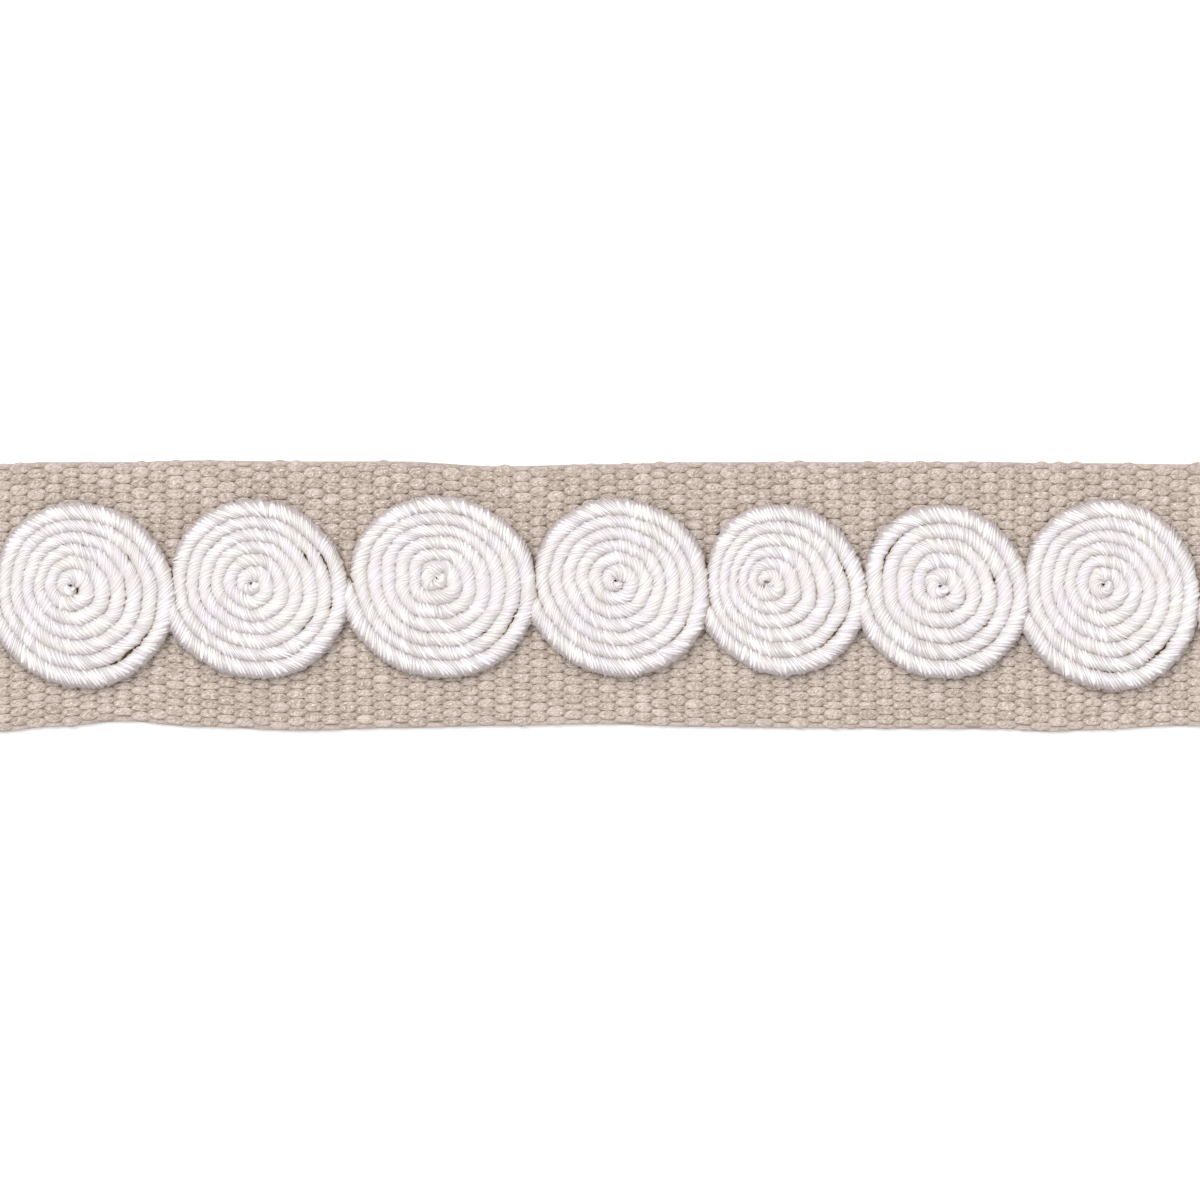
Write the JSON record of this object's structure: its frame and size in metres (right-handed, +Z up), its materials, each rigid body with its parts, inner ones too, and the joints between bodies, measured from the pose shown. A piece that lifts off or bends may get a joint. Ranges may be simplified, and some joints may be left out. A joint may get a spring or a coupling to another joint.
{
  "type": "tape trim",
  "caption": "Cut length of woven rib tape with a row of spirals of white satin-wrapped cord sewn flat along it, for edging curtains, cushions or clothes.",
  "frame": {"origin": "middle of the tape's flat underside, which lies on z = 0", "axes": "+X along the tape, +Y across it towards the edge that is uppermost in the picture, +Z up out of the face that carries the cord"},
  "size_m": [0.2286, 0.0389, 0.003],
  "materials": {
    "woven_tape": "matt beige linen-look yarn, warp-faced rib weave",
    "satin_cord": "white satin thread wrapped round a cord"
  },
  "bodies": {
    "root": {"tape_ground": "woven_tape", "spiral_1": "satin_cord", "spiral_2": "satin_cord", "spiral_3": "satin_cord", "spiral_4": "satin_cord", "spiral_5": "satin_cord", "spiral_6": "satin_cord", "spiral_7": "satin_cord", "spiral_8": "satin_cord", "spiral_9": "satin_cord"}
  },
  "joints": []
}
